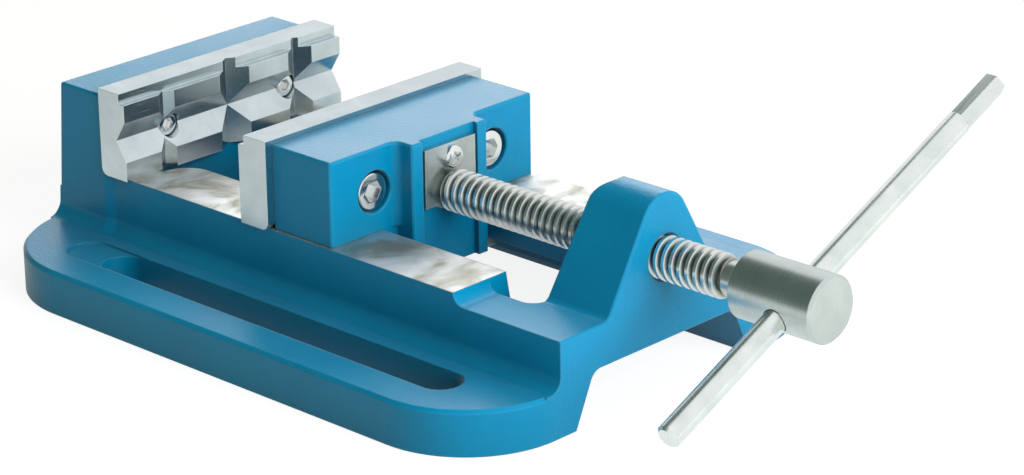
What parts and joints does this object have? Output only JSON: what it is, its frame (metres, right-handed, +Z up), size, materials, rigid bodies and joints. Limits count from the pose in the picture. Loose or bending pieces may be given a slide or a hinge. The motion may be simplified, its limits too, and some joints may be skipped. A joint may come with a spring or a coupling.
{
  "type": "drill press vise",
  "caption": "Low machine vise with a slotted cast base, V-grooved fixed jaw, sliding jaw, screw spindle and tommy bar.",
  "frame": {"origin": "underside of the base on the centre line, below the clamping face of the fixed jaw", "axes": "+X along the screw towards the handle, +Y across the jaws, +Z up from the base"},
  "size_m": [0.3734, 0.2317, 0.1145],
  "materials": {
    "blue_enamel": "semi-gloss enamel over a fine cast skin",
    "ground_steel": "ground bright",
    "screw_steel": "zinc plated",
    "plate_steel": "rolled, satin",
    "thread_steel": "rolled thread, bright",
    "hub_steel": "turned, satin",
    "bar_steel": "drawn, bright"
  },
  "bodies": {
    "vise_body": {"vise_body": "blue_enamel", "fixed_jaw_plate": "ground_steel", "fixed_jaw_screw_near": "screw_steel", "fixed_jaw_screw_far": "screw_steel"},
    "moving_jaw": {"moving_jaw": "blue_enamel", "moving_jaw_plate": "ground_steel", "moving_jaw_screw_near": "screw_steel", "moving_jaw_screw_far": "screw_steel", "retaining_plate": "plate_steel", "retaining_screw": "screw_steel", "guide_plate": "plate_steel", "guide_washer_near": "screw_steel", "guide_washer_far": "screw_steel", "guide_screw_near": "screw_steel", "guide_screw_far": "screw_steel", "thrust_disc": "plate_steel"},
    "spindle": {"spindle": "thread_steel", "hub": "hub_steel", "hub_pin": "screw_steel"},
    "tommy_bar": {"tommy_bar": "bar_steel"}
  },
  "joints": [
    {"name": "jaw_slide", "type": "slide", "parent": "vise_body", "child": "moving_jaw", "axis": [1, 0, 0], "range_m": [-0.0384, 0.066]},
    {"name": "spindle_turn", "type": "hinge", "parent": "moving_jaw", "child": "spindle", "pos_m": [0.12, 0, 0.0564], "axis": [1, 0, 0], "range_deg": [-3460, 5942]},
    {"name": "bar_slide", "type": "slide", "parent": "spindle", "child": "tommy_bar", "axis": [0, 0.9131, 0.4077], "range_m": [-0.09, 0.06]}
  ],
  "couplings": [
    {"joint": "spindle_turn", "follows": "jaw_slide", "rad_per_m": 1570.8}
  ]
}
